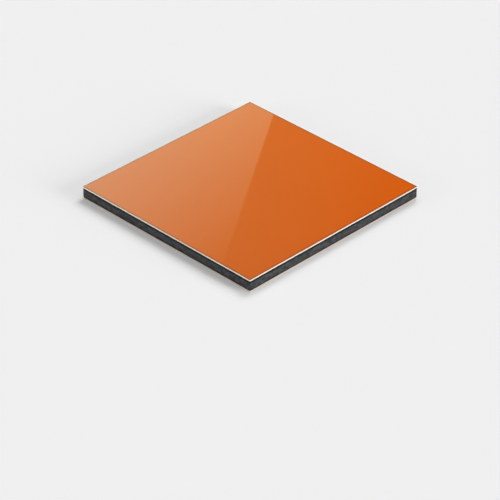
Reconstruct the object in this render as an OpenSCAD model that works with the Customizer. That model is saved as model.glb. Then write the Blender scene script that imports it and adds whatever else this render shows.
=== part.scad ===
// Aluminium composite panel: a small square cut from 3 mm sheet.
// Two lacquered metal skins are bonded to a polyethylene core, and the cut edge shows all three layers.
// The panel lies with its front face up, and its origin is the centre of its back face.

/* [Cut piece] */
// Length of the cut piece along X
panel_l = 50; // [20:1:400]
// Width of the cut piece along Y
panel_w = 50; // [20:1:400]
// Radius that dresses the four upright corners
corner_r = 0.2; // [0.1:0.05:8]

/* [Layers] */
// Thickness of the front skin, with its lacquer
front_skin_t = 0.3; // [0.2:0.05:0.5]
// Thickness of the polyethylene core
core_t = 2.4; // [1.4:0.1:5.4]
// Thickness of the back skin, with its lacquer
back_skin_t = 0.3; // [0.2:0.05:0.5]
// Width of the arris broken round the outer face of each skin
skin_arris = 0.05; // [0.02:0.01:0.09]

/* [Colours] */
// Gloss lacquer on the front skin
front_colour = "#D86220"; // ["#D86220", "#C8CACC", "#18191A"]
// Satin lacquer on the back skin
back_colour = "#C65A22"; // ["#C65A22", "#C8CACC", "#18191A"]
// Filled polyethylene of the core
core_colour = "#3E4143"; // ["#3E4143", "#8C8F90"]

/* [Hidden] */
$fn = 48;
// Heights of the two bond lines
core_z = back_skin_t;
front_skin_z = core_z + core_t;
// Straight stretches of the cut edges, between the dressed corners
straight_l = panel_l - 2 * corner_r;
straight_w = panel_w - 2 * corner_r;

// Puts its child at each of the four corner centres of the cut outline
module at_corners() {
    for (x = [-1, 1], y = [-1, 1])
        translate([x * straight_l / 2, y * straight_w / 2, 0])
            children();
}

// The cut outline, seen from above
module outline() {
    square([panel_l, straight_w], center = true);
    square([straight_l, panel_w], center = true);
    at_corners() circle(corner_r);
}

// Half of a skin's section: square at the bonded face, with its arris broken at the outer face
module half_section(half_width, t) {
    polygon([
        [0, 0],
        [half_width, 0],
        [half_width, t - skin_arris],
        [half_width - skin_arris, t],
        [0, t]
    ]);
}

// Sheet with that section on both sides, width across X and length along Y
module strip(width, length, t) {
    rotate([90, 0, 0])
        linear_extrude(length, center = true) {
            half_section(width / 2, t);
            mirror([1, 0]) half_section(width / 2, t);
        }
}

// One skin, its bonded face on z = 0 and its outer face at z = t
module skin(t) {
    strip(panel_l, straight_w, t);
    rotate(90) strip(panel_w, straight_l, t);
    at_corners() rotate_extrude() half_section(corner_r, t);
}

// Lacquered metal sheet on the front
module front_skin() {
    color(front_colour)
        translate([0, 0, front_skin_z])
            skin(front_skin_t);
}

// Polyethylene between the two skins
module core() {
    color(core_colour)
        translate([0, 0, core_z])
            linear_extrude(core_t)
                outline();
}

// Lacquered metal sheet on the back, with its outer face down
module back_skin() {
    color(back_colour)
        translate([0, 0, core_z])
            mirror([0, 0, 1])
                skin(back_skin_t);
}

front_skin();
core();
back_skin();
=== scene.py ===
# The looks of a small square of aluminium composite panel, lying on a pale studio floor.
# Two lacquered aluminium skins hold a dark polyethylene core, and the cut edge shows every layer.

import math

import bpy
import numpy as np
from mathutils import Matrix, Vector


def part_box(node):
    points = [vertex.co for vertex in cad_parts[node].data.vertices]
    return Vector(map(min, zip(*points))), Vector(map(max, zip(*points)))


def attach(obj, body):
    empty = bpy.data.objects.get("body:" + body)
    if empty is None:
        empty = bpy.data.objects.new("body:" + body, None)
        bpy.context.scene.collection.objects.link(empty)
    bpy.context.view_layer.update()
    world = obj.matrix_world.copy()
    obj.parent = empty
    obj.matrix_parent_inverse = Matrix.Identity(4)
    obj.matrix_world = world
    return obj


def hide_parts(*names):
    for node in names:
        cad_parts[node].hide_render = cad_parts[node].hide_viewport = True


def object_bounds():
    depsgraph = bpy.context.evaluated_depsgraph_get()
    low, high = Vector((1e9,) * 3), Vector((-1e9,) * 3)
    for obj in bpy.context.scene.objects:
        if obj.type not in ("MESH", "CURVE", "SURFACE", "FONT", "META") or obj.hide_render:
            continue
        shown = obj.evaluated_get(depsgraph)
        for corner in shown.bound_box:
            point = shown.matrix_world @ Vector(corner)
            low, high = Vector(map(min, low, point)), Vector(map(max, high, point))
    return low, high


MM = 0.001
MICRON = 0.000001

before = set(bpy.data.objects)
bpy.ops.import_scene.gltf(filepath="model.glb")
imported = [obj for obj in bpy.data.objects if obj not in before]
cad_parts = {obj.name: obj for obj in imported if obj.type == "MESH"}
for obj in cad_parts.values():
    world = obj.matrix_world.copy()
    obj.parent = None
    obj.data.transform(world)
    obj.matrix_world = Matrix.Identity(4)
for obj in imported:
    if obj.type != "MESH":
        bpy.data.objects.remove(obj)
cad_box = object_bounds()

# The panel's sizes, from the frame
panel_low, panel_high = cad_box
half_l = panel_high.x
half_w = panel_high.y
back_face_z = panel_low.z
lower_bond_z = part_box("core")[0].z
upper_bond_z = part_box("core")[1].z
front_face_z = panel_high.z

# The cut outline, and the angle from which an edge of a piece stays sharp
corner_r = 0.2 * MM
corner_steps = 6
fine_step = 0.06 * MM
coarse_step = 0.5 * MM
sharp_angle = math.radians(25)

# A play is how far a size wanders, and a run is the length over which it does so.
# The skins: lacquer over bare metal, with the arris broken across both
lacquer_t = 0.03 * MM
film_round = 0.3 * lacquer_t
film_round_drop = 0.15 * lacquer_t
arris = 0.05 * MM
arris_play = 0.008 * MM
arris_run = 3 * MM
front_arris_seed = 21
back_arris_seed = 22

# What the cutter's teeth leave on the edge
feed_pitch = 0.36 * MM
feed_run = 2.4 * feed_pitch
feed_lean = 0.12
feed_seed = 4
faintest_mark = 0.55
skin_mark = 2.5 * MICRON
core_mark = 5 * MICRON

# The burr that the cutter draws from a skin over its bond
front_burr = 0.1 * MM
back_burr = 0.01 * MM
shortest_burr = 0.4
burr_run = 0.7 * MM
burr_t = 0.02 * MM
burr_root = 3 * burr_t
burr_bevel = 0.8
front_burr_seed = 51
back_burr_seed = 52

# The cut face of the core, which lies a little behind the skins
core_rows = 16
core_recess = 12 * MICRON
core_relief = 9 * MICRON
streak_share = 0.7
streak_run = 1.6 * MM
streak_height = 0.16 * MM
streak_seed = 11
grain_size = 0.3 * MM
grain_seed = 12
bond_groove = 90 * MICRON
bond_groove_reach = 0.12 * MM

# Where painted shade starts and is full: in the core beside its bonds, and in the lacquer beside its cut.
# The core's unshaded band lies a little below its middle, so the painted shade under the upper skin is the
# wider.
bond_painted_shade_start = 0.55 * MM
bond_painted_shade_full = 0.25 * MM
bond_painted_shade_drop = 0.13 * MM
lacquer_painted_shade_start = 0.6 * MM
lacquer_painted_shade_full = 0.1 * MM

# The camera, in the place that the photograph was taken from
sensor_width = 36.0
camera_lens = 196.1
camera_distance = 575.44 * MM
camera_azimuth = math.radians(45)
camera_elevation = math.radians(32.14)
camera_pitch = math.radians(33.4785)

# The floor's paper, whose grid closes up towards the panel
floor_reach = 6.0
floor_drop = 0.02 * MM
floor_spokes = 72
floor_rings = 48
floor_middle = 4 * MM
paper_tone = 0.82
paper_level = 0.871

# The lamps, each reckoned as a square of cells, and the sky's glow at these elevations in degrees.
# Between them the glow changes evenly with the height, which is the elevation's sine.
lamp_cells = 6
horizon_glow = 0.85
dim_glow = 0.05
overhead_glow = 0.83
sky_elevations = (0, 3, 10, 42, 54, 90)
sky_heights = [math.sin(math.radians(elevation)) for elevation in sky_elevations]
sky_glows = [horizon_glow, horizon_glow, dim_glow, dim_glow, overhead_glow, overhead_glow]
sky_samples = 2001

# What the face mirrors in the photograph: a soft glow, and a card whose straight side ends the sheen.
# Each has the colour that the face mirrors at its centre, and how that changes per metre along X and Y.
mirror_reach = 0.6
sheet_reach = 60 * MM
sheet_overrun = 0.4
sheet_grid = 17
gloss_reflectance = 0.078
sheen_front = Vector((16.7, -24.3)) * MM
sheen_back = Vector((-17.6, 25.0)) * MM
glow_middle = Vector((0.0136, 0.0435, 0.0190))
glow_along_x = Vector((-0.30, -0.90, -0.40))
glow_along_y = Vector((-0.20, -0.67, -0.36))
card_middle = Vector((0.031, 0.045, 0.027))
card_along_x = Vector((-1.44, -2.27, -2.04))
card_along_y = Vector((-0.34, -0.13, -0.46))


def facing(azimuth, elevation):
    """Unit vector away from the panel. Azimuth 0 is its -Y side, and 90 degrees its +X side."""
    flat = math.cos(elevation)
    return Vector((math.sin(azimuth) * flat, -math.cos(azimuth) * flat, math.sin(elevation)))


class CutOutline:
    """The outline of the cut piece seen from above, as points with their outward directions."""

    def __init__(self, spacing):
        points = []
        outward = []
        for quarter in range(4):
            turn = quarter * math.pi / 2
            normal = np.array([math.cos(turn), math.sin(turn)])
            along = np.array([-math.sin(turn), math.cos(turn)])
            reach, half_side = (half_l, half_w) if quarter % 2 == 0 else (half_w, half_l)
            straight = half_side - corner_r
            for offset in np.linspace(-straight, straight, round(2 * straight / spacing)):
                points.append(normal * reach + along * offset)
                outward.append(normal)
            centre = normal * (reach - corner_r) + along * straight
            for angle in np.linspace(turn, turn + math.pi / 2, corner_steps + 1)[1:-1]:
                direction = np.array([math.cos(angle), math.sin(angle)])
                points.append(centre + direction * corner_r)
                outward.append(direction)
        self.points = np.array(points)
        self.outward = np.array(outward)
        steps = np.linalg.norm(np.diff(self.points, axis=0, append=self.points[:1]), axis=1)
        self.length = steps.sum()
        self.along = np.concatenate([[0], np.cumsum(steps)[:-1]])

    def ring(self, depth, z):
        """The outline moved in by a depth, at a height."""
        flat = self.points - self.outward * np.broadcast_to(depth, len(self.points))[:, None]
        return np.column_stack([flat, np.full(len(flat), z)])


def swept_solid(name, rings, material):
    """A closed solid whose wall runs through the rings, from the lowest to the highest."""
    count = len(rings[0])
    level_starts = np.arange(len(rings) - 1) * count
    near = np.arange(count)
    far = np.roll(near, -1)
    wall = np.stack([near, far, far + count, near + count], axis=1)
    faces = [quad for start in level_starts for quad in (wall + start).tolist()]
    faces.append(near[::-1].tolist())
    faces.append((near + (len(rings) - 1) * count).tolist())
    mesh = bpy.data.meshes.new(name)
    mesh.from_pydata(np.concatenate(rings).tolist(), [], faces)
    mesh.shade_smooth()
    mesh.set_sharp_from_angle(angle=sharp_angle)
    for flat_face in mesh.polygons[-2:]:
        flat_face.use_smooth = False
    mesh.materials.append(material)
    piece = bpy.data.objects.new(name, mesh)
    bpy.context.scene.collection.objects.link(piece)
    return piece


def eased(share):
    """A share from 0 to 1, changed so that it starts and ends gently."""
    return share * share * (3 - 2 * share)


def cut_noise(outline, z, seed, cell_along, cell_up=1 * MM):
    """Smooth noise from 0 to 1 on the cut edge, closed round the outline."""
    cells = round(outline.length / cell_along)
    rows = int((front_face_z - back_face_z) / cell_up) + 2
    table = np.random.default_rng(seed).random((cells, rows))
    across = outline.along / outline.length * cells
    column = np.floor(across).astype(int) % cells
    share = eased(across - np.floor(across))
    next_column = (column + 1) % cells
    row = int((z - back_face_z) / cell_up)
    rise = eased((z - back_face_z) / cell_up - row)
    lower = table[column, row] * (1 - share) + table[next_column, row] * share
    upper = table[column, row + 1] * (1 - share) + table[next_column, row + 1] * share
    return lower * (1 - rise) + upper * rise


def feed_marks(outline, z):
    """The scallops that the cutter's teeth leave, from 0 on a crest to 1 in a hollow."""
    teeth = (outline.along + feed_lean * z) / feed_pitch
    strength = cut_noise(outline, back_face_z, feed_seed, feed_run)
    uneven = faintest_mark + (1 - faintest_mark) * strength
    return np.sin(math.pi * teeth) ** 2 * uneven


def arris_width(outline, seed):
    """The arris is broken by hand, so its width wanders a little."""
    return arris - arris_play * cut_noise(outline, back_face_z, seed, arris_run)


def skin_sheet(name, bonded_z, outer_z, arris_seed, burr, burr_seed, material):
    """The metal of one skin, without its lacquer. The cutter draws out a fine burr over the bond."""
    outline = CutOutline(fine_step)
    side = math.copysign(1, outer_z - bonded_z)
    broken = arris_width(outline, arris_seed)
    marks = skin_mark * feed_marks(outline, bonded_z)
    longer = cut_noise(outline, bonded_z, burr_seed, burr_run)
    ragged = burr * (shortest_burr + (1 - shortest_burr) * longer)
    film_z = outer_z - side * lacquer_t
    arris_z = outer_z - side * arris
    rings = [
        outline.ring(burr_root, bonded_z),
        outline.ring(marks + burr_t, bonded_z - side * ragged),
        outline.ring(marks, bonded_z - side * burr_bevel * ragged),
        outline.ring(marks, (bonded_z + arris_z) / 2),
        outline.ring(marks, arris_z),
        outline.ring(broken - lacquer_t, film_z),
    ]
    return swept_solid(name, rings if side > 0 else rings[::-1], material)


def lacquer_film(name, bonded_z, outer_z, arris_seed, material):
    """The lacquer on one skin, which ends in the broken arris."""
    outline = CutOutline(coarse_step)
    side = math.copysign(1, outer_z - bonded_z)
    broken = arris_width(outline, arris_seed)
    film_z = outer_z - side * lacquer_t
    soft_z = outer_z - side * film_round_drop
    rings = [
        outline.ring(broken - lacquer_t, film_z),
        outline.ring(broken - film_round, soft_z),
        outline.ring(broken + film_round, outer_z),
    ]
    return swept_solid(name, rings if side > 0 else rings[::-1], material)


def core_depth(outline, z):
    """How far the cut face of the core lies behind the panel's own outline, at a height."""
    streaks = cut_noise(outline, z, streak_seed, streak_run, streak_height)
    grain = cut_noise(outline, z, grain_seed, grain_size, grain_size)
    relief = streak_share * streaks + (1 - streak_share) * grain
    to_bond = min(z - lower_bond_z, upper_bond_z - z)
    groove = math.exp(-((to_bond / bond_groove_reach) ** 2))
    depth = core_recess + core_mark * feed_marks(outline, z) + bond_groove * groove
    return depth + core_relief * relief


def core_sheet(material):
    """The polyethylene between the skins, with rows that close up towards the two bond lines."""
    outline = CutOutline(fine_step)
    middle = (lower_bond_z + upper_bond_z) / 2
    half_height = (upper_bond_z - lower_bond_z) / 2
    heights = [middle - half_height * math.cos(math.pi * row / core_rows) for row in range(core_rows + 1)]
    return swept_solid("core_sheet", [outline.ring(core_depth(outline, z), z) for z in heights], material)


def new_material(name):
    """An empty node material with a Principled shader, and its tree."""
    material = bpy.data.materials.new(name)
    material.use_nodes = True
    tree = material.node_tree
    return material, tree, tree.nodes["Principled BSDF"]


def add_node(tree, kind, inputs, **settings):
    """Adds a node. Each input is a value or a socket to link from."""
    node = tree.nodes.new(kind)
    for setting, value in settings.items():
        setattr(node, setting, value)
    for socket, value in inputs.items():
        if isinstance(value, bpy.types.NodeSocket):
            tree.links.new(value, node.inputs[socket])
        else:
            node.inputs[socket].default_value = value
    return node


def noise(tree, feature, stretch=(1, 1, 1), detail=3.0):
    """Noise with features of about this size in metres, drawn out by the stretch along each axis."""
    place = add_node(tree, "ShaderNodeTexCoord", {}).outputs["Object"]
    scale = [1 / (feature * longer) for longer in stretch]
    drawn = add_node(tree, "ShaderNodeMapping", {"Vector": place, "Scale": scale})
    inputs = {"Vector": drawn.outputs["Vector"], "Scale": 1.0, "Detail": detail}
    return add_node(tree, "ShaderNodeTexNoise", inputs).outputs["Fac"]


def between(tree, factor, low, high, start=0.3, end=0.7):
    """A number that runs from low to high as the factor goes from start to end."""
    inputs = {"Value": factor, "From Min": start, "From Max": end, "To Min": low, "To Max": high}
    return add_node(tree, "ShaderNodeMapRange", inputs).outputs["Result"]


def blend_colours(tree, factor, first, second):
    """A colour between two, by the factor. Each of the two is a colour or a socket to link from."""
    ends = [end if isinstance(end, bpy.types.NodeSocket) else (*end, 1) for end in (first, second)]
    inputs = {"Fac": factor, "Color1": ends[0], "Color2": ends[1]}
    return add_node(tree, "ShaderNodeMixRGB", inputs).outputs["Color"]


def weighted(tree, parts):
    """The sum of some sockets, each times its weight."""
    total = 0.0
    for socket, weight in parts:
        inputs = {0: socket, 1: weight, 2: total}
        total = add_node(tree, "ShaderNodeMath", inputs, operation="MULTIPLY_ADD").outputs[0]
    return total


def depth_from_middle(tree, axis, middle):
    """How far the surface lies from a middle plane, along one axis."""
    place = add_node(tree, "ShaderNodeTexCoord", {}).outputs["Object"]
    along = add_node(tree, "ShaderNodeSeparateXYZ", {"Vector": place}).outputs[axis]
    offset = add_node(tree, "ShaderNodeMath", {0: along, 1: middle}, operation="SUBTRACT").outputs[0]
    return add_node(tree, "ShaderNodeMath", {0: offset}, operation="ABSOLUTE").outputs[0]


def near_cut(tree, start, full):
    """From 0, at one distance inside the cut outline, to 1, at a nearer one."""
    edges = []
    for axis, half_side in (("X", half_l), ("Y", half_w)):
        reach = depth_from_middle(tree, axis, 0.0)
        edges.append(between(tree, reach, 0.0, 1.0, start=half_side - start, end=half_side - full))
    return add_node(tree, "ShaderNodeMath", {0: edges[0], 1: edges[1]}, operation="MAXIMUM").outputs[0]


def bumped(tree, height, depth):
    """A normal with relief of that depth, in metres."""
    return add_node(tree, "ShaderNodeBump", {"Height": height, "Distance": depth}).outputs["Normal"]


def front_lacquer():
    """Gloss orange coil lacquer: even colour, a mirror gloss, and a fine line of painted shade beside the
    cut.
    """
    material, tree, shader = new_material("front_lacquer_gloss")
    clouds = between(tree, noise(tree, 14 * MM), 0.0, 1.0)
    body = blend_colours(tree, clouds, (0.662, 0.103, 0.0028), (0.672, 0.106, 0.0032))
    # Painted shade: the lacquer is darkened in a fine line beside the cut, where its rolled edge would fall
    # into shade.
    painted_cut_shade = near_cut(tree, lacquer_painted_shade_start, lacquer_painted_shade_full)
    colour = blend_colours(tree, painted_cut_shade, body, (0.40, 0.080, 0.009))
    haze = between(tree, noise(tree, 5 * MM), 0.012, 0.022)
    peel = noise(tree, 1.8 * MM, detail=1.0)
    tree.links.new(colour, shader.inputs["Base Color"])
    tree.links.new(haze, shader.inputs["Roughness"])
    tree.links.new(bumped(tree, peel, 0.1 * MICRON), shader.inputs["Normal"])
    return material


def back_lacquer():
    """Satin orange lacquer of the back skin, a little darker than the front's."""
    material, tree, shader = new_material("back_lacquer_satin")
    clouds = between(tree, noise(tree, 9 * MM), 0.0, 1.0)
    colour = blend_colours(tree, clouds, (0.53, 0.096, 0.014), (0.58, 0.106, 0.018))
    satin = between(tree, noise(tree, 0.8 * MM), 0.3, 0.4)
    grain = noise(tree, 0.25 * MM, detail=2.0)
    tree.links.new(colour, shader.inputs["Base Color"])
    tree.links.new(satin, shader.inputs["Roughness"])
    tree.links.new(bumped(tree, grain, 1.2 * MICRON), shader.inputs["Normal"])
    return material


def bare_aluminium():
    """Freshly cut aluminium, dulled by the cutter's fine tearing, with upright lines from its teeth."""
    material, tree, shader = new_material("cut_aluminium")
    lines = noise(tree, 0.09 * MM, stretch=(1, 1, 18), detail=2.0)
    patches = noise(tree, 1.4 * MM, detail=2.0)
    shade = between(tree, weighted(tree, ((lines, 0.6), (patches, 0.4))), 0.0, 1.0, start=0.38, end=0.6)
    colour = blend_colours(tree, shade, (0.94, 0.82, 0.71), (1.0, 0.925, 0.835))
    shader.inputs["Metallic"].default_value = 0.6
    satin = between(tree, lines, 0.28, 0.44)
    tree.links.new(colour, shader.inputs["Base Color"])
    tree.links.new(satin, shader.inputs["Roughness"])
    tree.links.new(bumped(tree, lines, 4 * MICRON), shader.inputs["Normal"])
    return material


def filled_polyethylene():
    """Charcoal polyethylene with fine filler, smeared along the cut, with painted shade beside the two
    bonds.
    """
    material, tree, shader = new_material("core_polyethylene_cut")
    mottle = noise(tree, 0.45 * MM, stretch=(2.5, 2.5, 1), detail=5.0)
    smear = noise(tree, 0.13 * MM, stretch=(10, 10, 1), detail=4.0)
    filler = noise(tree, 0.12 * MM, detail=3.0)
    relief = weighted(tree, ((smear, 0.6), (filler, 0.4)))
    tone = between(tree, weighted(tree, ((mottle, 0.6), (relief, 0.4))), 0.0, 1.0, start=0.43, end=0.57)
    body = blend_colours(tree, tone, (0.006, 0.010, 0.013), (0.056, 0.059, 0.061))
    # Painted shade: beside each bond the core is darkened and its shine lowered, in place of the shade that
    # falls there under the skins.
    half_core = (upper_bond_z - lower_bond_z) / 2
    painted_shade_middle = (upper_bond_z + lower_bond_z) / 2 - bond_painted_shade_drop
    depth = depth_from_middle(tree, "Z", painted_shade_middle)
    painted_shade_start = half_core - bond_painted_shade_start
    painted_shade_end = half_core - bond_painted_shade_full
    painted_bond_shade = between(tree, depth, 0.0, 1.0, start=painted_shade_start, end=painted_shade_end)
    colour = blend_colours(tree, painted_bond_shade, body, (0.011, 0.010, 0.009))
    shine_under_painted_shade = between(tree, painted_bond_shade, 0.5, 0.1, start=0.0, end=1.0)
    dullness = between(tree, smear, 0.5, 0.68)
    tree.links.new(colour, shader.inputs["Base Color"])
    tree.links.new(shine_under_painted_shade, shader.inputs["Specular IOR Level"])
    tree.links.new(dullness, shader.inputs["Roughness"])
    tree.links.new(bumped(tree, relief, 8 * MICRON), shader.inputs["Normal"])
    return material


def dress_panel():
    """Builds every piece of the panel and sets it on the frame."""
    metal = bare_aluminium()
    front = (upper_bond_z, front_face_z, front_arris_seed)
    back = (lower_bond_z, back_face_z, back_arris_seed)
    front_sheet = skin_sheet("front_sheet", *front, front_burr, front_burr_seed, metal)
    front_film = lacquer_film("front_lacquer_film", *front, front_lacquer())
    core = core_sheet(filled_polyethylene())
    back_sheet = skin_sheet("back_sheet", *back, back_burr, back_burr_seed, metal)
    back_film = lacquer_film("back_lacquer_film", *back, back_lacquer())
    for piece in (front_sheet, front_film, core, back_sheet, back_film):
        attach(piece, "root")
    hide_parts("front_skin")
    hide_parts("core")
    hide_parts("back_skin")


class Softbox:
    """A square lamp aimed at the panel, which nothing mirrors, so that no view shows a white patch.

    Its level is the light on a white sheet at the panel that faces it.
    """

    def __init__(self, name, azimuth, elevation, distance, size, level):
        self.outward = facing(math.radians(azimuth), math.radians(elevation))
        self.distance = distance
        self.level = level
        lamp = bpy.data.lights.new(name, "AREA")
        lamp.size = size
        lamp.energy = level * (math.pi * distance) ** 2
        box = bpy.data.objects.new(name, lamp)
        turn = self.outward.to_track_quat("Z", "Y")
        box.location = self.outward * distance
        box.rotation_euler = turn.to_euler()
        box.visible_camera = False
        box.visible_glossy = False
        bpy.context.scene.collection.objects.link(box)
        offsets = (np.arange(lamp_cells) + 0.5) / lamp_cells - 0.5
        spots = [Vector((across, up, 0)) * size for across in offsets for up in offsets]
        self.cells = np.array([box.location + turn @ spot for spot in spots])

    def light_on_floor(self, points):
        """The light that reaches each point of the floor, from all the cells of the lamp's face."""
        rays = self.cells[None] - points[:, None]
        slope = rays[..., 2] * np.maximum(rays @ np.array(self.outward), 0)
        falloff = slope / np.linalg.norm(rays, axis=2) ** 4
        return self.level * self.distance ** 2 * falloff.mean(axis=1)


def stage_mesh(name, points, faces, material):
    """A part of the studio, which isn't part of the panel."""
    mesh = bpy.data.meshes.new(name)
    mesh.from_pydata(points, [], faces)
    mesh.materials.append(material)
    piece = bpy.data.objects.new(name, mesh)
    bpy.context.scene.collection.objects.link(piece)
    return piece


def floor_paper():
    """Matt paper. Its tone and a faint glow come from the floor's own points."""
    material, tree, shader = new_material("floor_paper")
    tone = add_node(tree, "ShaderNodeAttribute", {}, attribute_name="tone").outputs["Fac"]
    glow = add_node(tree, "ShaderNodeAttribute", {}, attribute_name="glow").outputs["Fac"]
    tree.links.new(tone, shader.inputs["Base Color"])
    tree.links.new(glow, shader.inputs["Emission Strength"])
    shader.inputs["Emission Color"].default_value = (1, 1, 1, 1)
    shader.inputs["Roughness"].default_value = 1.0
    shader.inputs["Specular IOR Level"].default_value = 0.0
    return material


def sky_light_on_floor():
    """The light that reaches a level floor from the whole sky. An even sky that glows at 1 gives 1."""
    heights = np.linspace(0, 1, sky_samples)
    return 2 * np.mean(np.interp(heights, sky_heights, sky_glows) * heights)


def studio_floor(lamps):
    """A wide pale floor, graded so that it looks evenly bright under lamps that stand close."""
    points = [(0, 0, back_face_z - floor_drop)]
    for radius in np.geomspace(floor_middle, floor_reach, floor_rings):
        for angle in np.arange(floor_spokes) * 2 * math.pi / floor_spokes:
            points.append((radius * math.cos(angle), radius * math.sin(angle), points[0][2]))
    faces = [(0, 1 + spoke, 1 + (spoke + 1) % floor_spokes) for spoke in range(floor_spokes)]
    for ring in range(floor_rings - 1):
        start = 1 + ring * floor_spokes
        for spoke in range(floor_spokes):
            near = start + spoke
            beside = start + (spoke + 1) % floor_spokes
            faces.append((near, near + floor_spokes, beside + floor_spokes, beside))
    floor = stage_mesh("studio_floor", points, faces, floor_paper())
    light = sky_light_on_floor() + sum(lamp.light_on_floor(np.array(points)) for lamp in lamps)
    tone = np.minimum(paper_tone, paper_level / light)
    glow = paper_level - tone * light
    floor.data.attributes.new("tone", "FLOAT", "POINT").data.foreach_set("value", tone)
    floor.data.attributes.new("glow", "FLOAT", "POINT").data.foreach_set("value", glow)


def studio_world():
    """Soft light from overhead, a dim band lower down and a pale horizon."""
    world = bpy.data.worlds.new("studio")
    bpy.context.scene.world = world
    world.use_nodes = True
    tree = world.node_tree
    direction = add_node(tree, "ShaderNodeTexCoord", {}).outputs["Generated"]
    upward = add_node(tree, "ShaderNodeSeparateXYZ", {"Vector": direction}).outputs["Z"]
    ramp = add_node(tree, "ShaderNodeValToRGB", {"Fac": upward})
    stops = ramp.color_ramp.elements
    while len(stops) < len(sky_heights):
        stops.new(0.5)
    for stop, height, glow in zip(stops, sky_heights, sky_glows):
        stop.position = height
        stop.color = (glow, glow, glow, 1)
    tree.links.new(ramp.outputs["Color"], tree.nodes["Background"].inputs["Color"])


def photo_camera():
    """The camera at the photograph's own viewing angle and distance."""
    camera = bpy.data.objects.new("photo_camera", bpy.data.cameras.new("photo_camera"))
    camera.data.sensor_width = sensor_width
    camera.data.lens = camera_lens
    face_centre = Vector((0, 0, front_face_z))
    camera.location = face_centre + facing(camera_azimuth, camera_elevation) * camera_distance
    camera.rotation_euler = (math.pi / 2 - camera_pitch, 0, camera_azimuth)
    bpy.context.scene.collection.objects.link(camera)
    bpy.context.scene.camera = camera
    return camera


def mirrored_light(flat, on_card):
    """The colour of the light that the face mirrors at a place on it."""
    light = glow_middle + glow_along_x * flat.x + glow_along_y * flat.y
    if on_card:
        light += card_middle + card_along_x * flat.x + card_along_y * flat.y
    return [max(0, channel) for channel in light]


def mirrored_sheet(name, mirrored_eye, sideways, material, on_card):
    """A glowing sheet that the face mirrors on one side of the sheen's straight edge."""
    face_centre = Vector((0, 0, front_face_z))
    outward = (face_centre - mirrored_eye).normalized()
    reach = (face_centre - mirrored_eye).length + mirror_reach
    points = []
    colours = []
    for step in np.linspace(-sheet_overrun, 1 + sheet_overrun, sheet_grid):
        for shift in np.linspace(0, sheet_reach, sheet_grid):
            flat = sheen_front.lerp(sheen_back, step) + sideways * shift
            ray = Vector((flat.x, flat.y, front_face_z)) - mirrored_eye
            points.append(mirrored_eye + ray * reach / ray.dot(outward))
            colours.extend([*mirrored_light(flat, on_card), 1])
    rows = range(sheet_grid - 1)
    starts = [row * sheet_grid + column for row in rows for column in rows]
    faces = [(start, start + 1, start + 1 + sheet_grid, start + sheet_grid) for start in starts]
    sheet = stage_mesh(name, points, faces, material)
    sheet.data.attributes.new("light", "FLOAT_COLOR", "POINT").data.foreach_set("color", colours)
    sheet.visible_camera = False
    sheet.visible_diffuse = False
    sheet.visible_shadow = False


def mirrored_studio(camera):
    """What the face mirrors at the photograph's angle."""
    material, tree, shader = new_material("mirrored_light")
    light = add_node(tree, "ShaderNodeAttribute", {}, attribute_name="light").outputs["Color"]
    tree.links.new(light, shader.inputs["Emission Color"])
    shader.inputs["Base Color"].default_value = (0, 0, 0, 1)
    shader.inputs["Emission Strength"].default_value = 1 / gloss_reflectance
    mirrored_eye = camera.location.copy()
    mirrored_eye.z = 2 * front_face_z - mirrored_eye.z
    along = (sheen_back - sheen_front).normalized()
    leftward = Vector((-along.y, along.x))
    mirrored_sheet("sheen_card", mirrored_eye, leftward, material, on_card=True)
    mirrored_sheet("soft_glow", mirrored_eye, -leftward, material, on_card=False)


dress_panel()
key_lamp = Softbox("key_softbox", azimuth=196, elevation=54, distance=0.25, size=0.14, level=0.535)
side_lamp = Softbox("side_softbox", azimuth=105, elevation=15, distance=0.7, size=0.3, level=0.74)
front_lamp = Softbox("front_softbox", azimuth=345, elevation=12, distance=0.7, size=0.3, level=0.2)
studio_floor([key_lamp, side_lamp, front_lamp])
studio_world()
mirrored_studio(photo_camera())
bpy.context.scene.view_settings.view_transform = "Standard"
